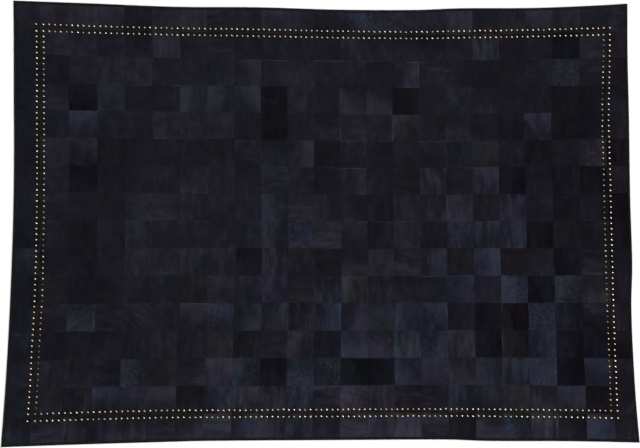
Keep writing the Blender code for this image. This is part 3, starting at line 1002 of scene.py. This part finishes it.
def leather_material():
    """The thin leather of the binding: fine grain, with painted light, paler on its flat than on the
    rolled fold and in the stitch groove.
    """
    made, tree, shader = new_material("binding leather", Specular_IOR_Level=0.20)
    coordinates = add(tree, "ShaderNodeUVMap", uv_map="strip").outputs[0]
    values = {"Vector": coordinates, "Scale": 1100.0}
    grain = add(tree, "ShaderNodeTexVoronoi", values, voronoi_dimensions="2D").outputs["Distance"]
    creases = streaks(tree, coordinates, 420.0, 90.0)
    cloud = streaks(tree, coordinates, 14.0, 60.0)
    # Painted light: paler where the strip faces up, darker in the stitch groove and down the fold
    shade = calc(tree, "MULTIPLY_ADD", cloud, 0.12, attribute(tree, "flat"))
    shade = calc(tree, "MULTIPLY_ADD", grain, 60.0, shade)
    colour = colours_along(tree, shade, LEATHER)
    height = calc(tree, "MULTIPLY", grain, 0.10)
    height = calc(tree, "MULTIPLY_ADD", creases, 0.00003, height)
    roughness = calc(tree, "MULTIPLY_ADD", creases, 0.05, 0.50)
    finish = {"Base Color": colour, "Roughness": roughness, "Normal": bumped(tree, height)}
    connect(tree, shader, finish)
    return made


def thread_material():
    """Waxed dark thread with a fine twist."""
    made, tree, shader = new_material("waxed thread", Specular_IOR_Level=0.35, Roughness=0.5)
    values = {"Vector": add(tree, "ShaderNodeTexCoord").outputs["Object"], "Scale": 900.0}
    twist = add(tree, "ShaderNodeTexWave", values, bands_direction="DIAGONAL").outputs["Fac"]
    shade = calc(tree, "MULTIPLY_ADD", attribute(tree, "shade"), 0.5, 0.25)
    height = calc(tree, "MULTIPLY", twist, 0.00004)
    finish = {"Base Color": colours_along(tree, shade, THREAD), "Normal": bumped(tree, height)}
    connect(tree, shader, finish)
    return made


def stud_material():
    """Aged pale brass, polished on the crown and grimy round the rim."""
    made, tree, shader = new_material("aged stud metal", Metallic=1.0)
    at = add(tree, "ShaderNodeTexCoord").outputs["Object"]
    values = {"Vector": at, "Scale": 700.0, "Detail": 3.0}
    spots = add(tree, "ShaderNodeTexNoise", values).outputs["Fac"]
    grime = calc(tree, "SUBTRACT", attribute(tree, "rim"), 0.35)
    grime = calc(tree, "MULTIPLY_ADD", spots, 0.6, grime)
    grime = calc(tree, "MINIMUM", calc(tree, "MAXIMUM", grime, 0.0), 1.0)
    # The shade holds painted light on the studs up the sides as well as a random tone
    shade = calc(tree, "MULTIPLY_ADD", attribute(tree, "shade"), 0.75, 0.25)
    colour = blended(tree, grime, colours_along(tree, shade, BRASS), STUD_GRIME)
    roughness = calc(tree, "MULTIPLY_ADD", grime, 0.35, 0.26)
    height = calc(tree, "MULTIPLY", spots, 0.00006)
    finish = {"Base Color": colour, "Roughness": roughness, "Normal": bumped(tree, height)}
    connect(tree, shader, finish)
    return made


# Small pieces set out by a node tree

def setting_tree():
    """Copies a piece to every point, turned to the point's facing, and joins the copies."""
    tree = bpy.data.node_groups.new("Set out pieces", "GeometryNodeTree")
    inputs = {"Points": "Geometry", "Piece": "Object", "Material": "Material", "Seed": "Int"}
    inputs.update({"Size spread": "Float", "Tilt spread": "Float"})
    for label, kind in inputs.items():
        tree.interface.new_socket(label, in_out="INPUT", socket_type="NodeSocket" + kind)
    tree.interface.new_socket("Pieces", in_out="OUTPUT", socket_type="NodeSocketGeometry")
    start, end = tree.nodes.new("NodeGroupInput"), tree.nodes.new("NodeGroupOutput")
    given = start.outputs

    def scatter(offset, low, high):
        """A random number for each point, from its own seed."""
        seed = calc(tree, "ADD", given["Seed"], offset)
        node = add(tree, "FunctionNodeRandomValue", data_type="FLOAT")
        live = [socket for socket in node.inputs if socket.enabled]
        ends = [socket for socket in live if socket.name in ("Min", "Max")]
        for socket, value in zip(ends, (low, high)):
            if isinstance(value, bpy.types.NodeSocket):
                tree.links.new(value, socket)
            else:
                socket.default_value = value
        tree.links.new(seed, node.inputs["Seed"])
        return next(socket for socket in node.outputs if socket.enabled)

    facing = add(tree, "GeometryNodeInputNamedAttribute", {"Name": "facing"}, data_type="FLOAT")
    lean = calc(tree, "MULTIPLY", given["Tilt spread"], -1.0)
    turn = {"X": scatter(1, lean, given["Tilt spread"]), "Y": scatter(2, lean, given["Tilt spread"])}
    turn["Z"] = facing.outputs["Attribute"]
    turn = add(tree, "ShaderNodeCombineXYZ", turn).outputs[0]
    turned = add(tree, "FunctionNodeEulerToRotation", {0: turn})
    smallest = calc(tree, "SUBTRACT", 1.0, given["Size spread"])
    largest = calc(tree, "ADD", 1.0, given["Size spread"])
    piece = add(tree, "GeometryNodeObjectInfo", {"Object": given["Piece"], "As Instance": True})
    values = {"Points": given["Points"], "Instance": piece.outputs["Geometry"]}
    values.update({"Rotation": turned.outputs[0], "Scale": scatter(3, smallest, largest)})
    copies = add(tree, "GeometryNodeInstanceOnPoints", values)
    brighter = add(tree, "GeometryNodeInputNamedAttribute", {"Name": "brighter"}, data_type="FLOAT")
    # Each copy's shade is its random tone with the painted light of its point
    shade = calc(tree, "ADD", scatter(4, 0.0, 1.0), brighter.outputs["Attribute"])
    values = {"Geometry": copies.outputs[0], "Name": "shade", "Value": shade}
    marked = add(tree, "GeometryNodeStoreNamedAttribute", values, data_type="FLOAT", domain="INSTANCE")
    joined = add(tree, "GeometryNodeRealizeInstances", {"Geometry": marked.outputs[0]})
    values = {"Geometry": joined.outputs[0], "Material": given["Material"]}
    connect(tree, end, {"Pieces": add(tree, "GeometryNodeSetMaterial", values).outputs[0]})
    return tree


def set_out(name, tree, spots, piece, brighter, **values):
    """One mesh of copies of a piece on spots of place, height and facing.

    Each copy's random shade is raised or lowered by painted light: painted shade below 0, a painted
    highlight above.
    """
    points = bpy.data.meshes.new(name + "_points")
    points.from_pydata([spot[:3] for spot in spots], [], [])
    store(points, "facing", [spot[3] for spot in spots])
    store(points, "brighter", brighter)
    made = linked(name, points)
    modifier = made.modifiers.new("set out", "NODES")
    modifier.node_group = tree
    values["Piece"] = piece
    for label, value in values.items():
        modifier[tree.interface.items_tree[label].identifier] = value
    graph = bpy.context.evaluated_depsgraph_get()
    shown = made.evaluated_get(graph)
    mesh = bpy.data.meshes.new_from_object(shown, preserve_all_data_layers=True, depsgraph=graph)
    mesh.name = name
    while mesh.materials[0] is None:
        mesh.materials.pop(index=0)
    made.modifiers.remove(modifier)
    made.data = mesh
    bpy.data.meshes.remove(points)
    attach(made, "root")
    return made


# Studs

DOME_SIDES = 12
Ring = namedtuple("Ring", "share height rim")  # share of the radius, height in millimetres
DOME = [
    Ring(0.96, -0.60, 1.0),
    Ring(1.00, 0.12, 1.0),
    Ring(0.84, 0.92, 0.45),
    Ring(0.48, 1.76, 0.0),
]


def bands(count, sides):
    """The faces between rings of points, numbered one ring after the other."""
    faces = []
    for start in range(0, (count - 1) * sides, sides):
        for n in range(sides):
            here, there = start + n, start + (n + 1) % sides
            faces.append([here, there, there + sides, here + sides])
    return faces


def spun(name, rings, top, sides, radius):
    """A closed piece of stacked rings with a point on top, and its rim attribute."""
    verts, rims = [], []
    for ring in rings:
        for n in range(sides):
            angle = 2 * math.pi * n / sides
            off = radius * ring.share
            verts.append((off * math.cos(angle), off * math.sin(angle), ring.height / 1000))
            rims.append(ring.rim)
    verts.append((0, 0, top))
    rims.append(0.0)
    faces = bands(len(rings), sides)
    last = len(verts) - 1 - sides
    faces += [[last + n, last + (n + 1) % sides, len(verts) - 1] for n in range(sides)]
    faces.append(list(range(sides))[::-1])
    mesh = bpy.data.meshes.new(name)
    mesh.from_pydata(verts, [], faces)
    store(mesh, "rim", rims)
    mesh.shade_smooth()
    mesh.set_sharp_from_angle(angle=math.radians(70))
    return linked(name, mesh)


def ring_of_spots(half_x, half_y, xs, ys):
    """Spots along the front and back of a ring at xs, then up its sides at ys."""
    spots = [(x, y) for y in (-half_y, half_y) for x in xs]
    return spots + [(x, y) for x in (-half_x, half_x) for y in ys]


def stud_spots():
    """Places of the studs on either side of the border seam."""
    half_x, half_y = SEAM_X - STUD_OFF_SEAM, SEAM_Y - STUD_OFF_SEAM
    xs, ys = np.linspace(-half_x, half_x, STUDS_X), np.linspace(-half_y, half_y, STUDS_Y)
    out_x, out_y = SEAM_X + STUD_OFF_SEAM, SEAM_Y + STUD_OFF_SEAM
    inner = ring_of_spots(half_x, half_y, xs, ys[1:-1])
    return inner, ring_of_spots(out_x, out_y, [-out_x, *xs, out_x], ys)


def stud_painted_light(x, y, outer):
    """Painted light on the studs up the sides: the inner row, sunk deeper in the hair, in painted
    shade, the outer row with a painted highlight.
    """
    front = -y / SEAM_Y
    if outer:
        change = np.where(x > 0, 0.30 + 0.20 * front, 0.12)
    else:
        change = np.where(x > 0, -0.45, -0.35 - 0.35 * front)
    return np.where(np.abs(x) > SEAM_X - 0.02, change, 0.0)


def seat_studs(tree, metal):
    """Both rows of studs, each stud a little turned, tilted and out of line."""
    dome = spun("stud", DOME, STUD_RISE, DOME_SIDES, STUD_RADIUS)
    random = np.random.RandomState(31)
    for name, grid in zip(("studs_inner", "studs_outer"), stud_spots()):
        grid = np.array(grid)
        x, y = grid.T
        heights = HIDE_TOP - STUD_PULL + ripple(x, y)
        at = place(x, y) + random.normal(0, 0.0004, grid.shape)
        turns = random.uniform(0, 2 * math.pi, len(grid))
        spots = np.column_stack((at, heights, turns)).tolist()
        brighter = stud_painted_light(x, y, name == "studs_outer")
        values = {"Material": metal, "Seed": len(grid), "Size spread": 0.05, "Tilt spread": 0.16}
        set_out(name, tree, spots, dome, brighter, **values)
    bpy.data.objects.remove(dome)


# The binding

def along_side(along, off, along_x):
    """Places along a side that runs in x or in y, so far off the rug's middle."""
    return place(along, off) if along_x else place(off, along)


def fold_section():
    """Depth and height round the folded strip, with how much painted light each point takes, most on
    its flat top.
    """
    outside = [
        (BINDING_WIDTH, BINDING_TOP - 0.0003, 0.6),
        (BINDING_WIDTH - 0.0004, BINDING_TOP, 1.0),
        (STITCH_DEPTH + 0.0008, BINDING_TOP, 1.0),
        (STITCH_DEPTH, BINDING_TOP - 0.00022, 0.5),
        (STITCH_DEPTH - 0.0008, BINDING_TOP, 1.0),
        (0.0042, BINDING_TOP + 0.0001, 0.8),
    ]
    for n in range(7):
        angle = math.pi / 2 * n / 6
        height = BINDING_TOP - FOLD_DROP * (1 - math.cos(angle))
        outside.append((FOLD_ROUND * (1 - math.sin(angle)), height, 0.45 - 0.07 * n))
    for n in range(1, 6):
        angle = math.pi / 2 * n / 5
        height = BINDING_ROLL * (1 - math.sin(angle))
        outside.append((BINDING_ROLL * (1 - math.cos(angle)), height, 0.0))
    outside.append((BINDING_WIDTH, 0.0, 0.0))
    inside = [
        (BINDING_WIDTH, BINDING_SKIN),
        (0.0024, BINDING_SKIN),
        (BINDING_SKIN, 0.0022),
        (BINDING_SKIN, BINDING_TOP - 0.0022),
        (0.0024, BINDING_TOP - BINDING_SKIN),
        (BINDING_WIDTH, BINDING_TOP - BINDING_SKIN),
    ]
    return outside + [(depth, height, 0.0) for depth, height in inside]


def fold_binding(name, along_x, sign, leather):
    """The folded strip of one side, mitred at both corners, a little uneven along its length."""
    section = np.array(fold_section())
    half, edge = (HALF_X, HALF_Y) if along_x else (HALF_Y, HALF_X)
    count = round(2 * half / 0.010)
    stations = np.linspace(-1, 1, count + 1)
    depth, height, flat = section.T
    ring = len(section)
    seed = 50 + 2 * along_x + (sign > 0)
    waver = smooth_noise(stations * half / 0.045 + 40, np.full(count + 1, 3.0), seed)
    waver = waver + 0.6 * smooth_noise(stations * half / 0.017 + 70, np.full(count + 1, 9.0), seed)
    waver = waver * np.clip((1 - np.abs(stations)) * half / 0.02, 0, 1)
    on_top = (depth > 0.003) & (height > BINDING_TOP - 0.0005)
    along = stations[:, None] * (half - (depth[None, :] + 0.00015))
    deep = depth[None, :] + waver[:, None] * np.where(on_top & (depth > 0.009), 0.0003, 0)
    high = height[None, :] + waver[:, None] * np.where(on_top, 0.00009, 0)
    at = along_side(along, sign * (edge - deep), along_x)
    verts = np.concatenate((at, high[..., None]), axis=-1).reshape(-1, 3)
    faces = [list(range(ring))[::-1], [count * ring + k for k in range(ring)]]
    faces += bands(count + 1, ring)
    if (sign > 0) == along_x:
        faces = [face[::-1] for face in faces]
    mesh = bpy.data.meshes.new(name)
    mesh.from_pydata(verts.tolist(), [], faces)
    mesh.materials.append(leather)

    steps = np.diff(section[:, :2], axis=0, prepend=section[:1, :2])
    round_it = np.cumsum(np.hypot(*steps.T))
    corners = np.zeros(len(mesh.loops), dtype=np.int32)
    mesh.loops.foreach_get("vertex_index", corners)
    uv = np.column_stack((stations[corners // ring] * half, round_it[corners % ring]))
    mesh.uv_layers.new(name="strip").data.foreach_set("uv", uv.ravel())
    # How much painted light each point takes, by its place round the fold
    store(mesh, "flat", np.tile(flat, count + 1))
    mesh.shade_smooth()
    mesh.set_sharp_from_angle(angle=math.radians(50))
    made = linked(name, mesh)
    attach(made, "root")
    return made


Bead = namedtuple("Bead", "along height radius")  # in millimetres
BEADS = [
    Bead(-1.5, -0.25, 0.22),
    Bead(-1.1, 0.12, 0.32),
    Bead(0, 0.20, 0.34),
    Bead(1.1, 0.12, 0.32),
    Bead(1.5, -0.25, 0.22),
]


def stitch():
    """One stitch: a short thread that dips into the leather at both ends."""
    sides = 5
    verts = []
    for bead in BEADS:
        for n in range(sides):
            angle = 2 * math.pi * n / sides
            across, up = bead.radius * math.cos(angle), bead.radius * math.sin(angle)
            verts.append((bead.along / 1000, across / 1000, (bead.height + up) / 1000))
    faces = bands(len(BEADS), sides)
    faces += [list(range(sides))[::-1], [len(verts) - sides + n for n in range(sides)]]
    mesh = bpy.data.meshes.new("stitch")
    mesh.from_pydata(verts, [], faces)
    mesh.shade_smooth()
    return linked("stitch", mesh)


def sew_binding(tree, leather, thread):
    """The folded strip on each side, with its row of stitches."""
    piece = stitch()
    sides = {"back": (True, 1), "front": (True, -1), "left": (False, -1), "right": (False, 1)}
    for side, (along_x, sign) in sides.items():
        strip = fold_binding(f"binding_{side}_fold", along_x, sign, leather)
        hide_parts("binding_" + side)
        half, edge = (HALF_X, HALF_Y) if along_x else (HALF_Y, HALF_X)
        run = half - STITCH_MARGIN
        count = round(2 * run / STITCH_STEP)
        along = np.linspace(-run, run, count)
        off = np.full(count, sign * (edge - STITCH_DEPTH))
        at = along_side(along, off, along_x)
        ahead = along_side(along + 0.001, off, along_x)
        facing = np.arctan2(*(ahead - at).T[::-1])
        spots = np.column_stack((at, np.full(count, BINDING_TOP - 0.00012), facing)).tolist()
        values = {"Material": thread, "Seed": count, "Size spread": 0.06, "Tilt spread": 0.02}
        name = f"binding_{side}_stitches"
        stitches = set_out(name, tree, spots, piece, np.zeros(count), **values)
    bpy.data.objects.remove(piece)


# The room

FLOOR_HALF = 200.0
FLOOR_HEIGHT = -0.0003
ROOM_LIGHT = 0.20
ROOM_SEEN = 0.90  # how much brighter the room is where it is seen
CAMERA_LENS = 60.41  # in millimetres, on a 36 mm wide sensor
CAMERA_PLACE = (-0.0010, -0.2668, 3.996)
CAMERA_TILT = 3.66  # degrees from straight down, towards the back


def lay_floor():
    """A pale floor that reaches the horizon."""
    mesh = bpy.data.meshes.new("floor")
    ends = ((-1, -1), (1, -1), (1, 1), (-1, 1))
    corners = [(x * FLOOR_HALF, y * FLOOR_HALF, FLOOR_HEIGHT) for x, y in ends]
    mesh.from_pydata(corners, [], [(0, 1, 2, 3)])
    pale, _, shader = new_material("white paper", Roughness=0.9, Specular_IOR_Level=0.1)
    shader.inputs["Base Color"].default_value = (0.92, 0.92, 0.92, 1)
    mesh.materials.append(pale)
    linked("floor", mesh)


Lamp = namedtuple("Lamp", "name azimuth elevation angle strength")
LAMPS = [
    Lamp("key", 125, 42, 40, 3.0),
    Lamp("fill", -45, 45, 60, 1.6),
]


def light_room():
    """Broad soft lights from the front right and the back left. Azimuth is from +Y to +X.

    The room gives a weak even light, and what is seen of it is as pale as the floor.
    """
    for lamp in LAMPS:
        light = bpy.data.lights.new(lamp.name, "SUN")
        light.energy = lamp.strength
        light.angle = math.radians(lamp.angle)
        holder = bpy.data.objects.new(lamp.name, light)
        bpy.context.scene.collection.objects.link(holder)
        azimuth, elevation = math.radians(lamp.azimuth), math.radians(lamp.elevation)
        x, y = math.sin(azimuth) * math.cos(elevation), math.cos(azimuth) * math.cos(elevation)
        towards = Vector((x, y, math.sin(elevation)))
        holder.rotation_euler = towards.to_track_quat("Z", "Y").to_euler()
    world = bpy.data.worlds.new("soft room")
    world.use_nodes = True
    tree = world.node_tree
    background = tree.nodes["Background"].inputs
    background["Color"].default_value = (0.95, 0.97, 1.0, 1)
    seen = add(tree, "ShaderNodeLightPath").outputs["Is Camera Ray"]
    strength = calc(tree, "MULTIPLY_ADD", seen, ROOM_SEEN, ROOM_LIGHT)
    tree.links.new(strength, background["Strength"])
    bpy.context.scene.world = world
    bpy.context.scene.view_settings.view_transform = "Standard"


def set_camera():
    """The photo's camera, four metres above the rug and a little in front of its middle."""
    camera = bpy.data.cameras.new("camera")
    camera.lens = CAMERA_LENS
    camera.sensor_width = 36.0
    camera.clip_end = 1000.0
    holder = bpy.data.objects.new("camera", camera)
    holder.location = CAMERA_PLACE
    holder.rotation_euler = (math.radians(CAMERA_TILT), 0, 0)
    bpy.context.scene.collection.objects.link(holder)
    bpy.context.scene.camera = holder


def main():
    coat = hair_group()
    field_top = hair_material("field hide", coat)
    border_top = hair_material("border hide", coat)
    sew_rug(field_top, border_top, flesh_material())
    tree = setting_tree()
    seat_studs(tree, stud_material())
    sew_binding(tree, leather_material(), thread_material())
    lay_floor()
    light_room()
    set_camera()


main()
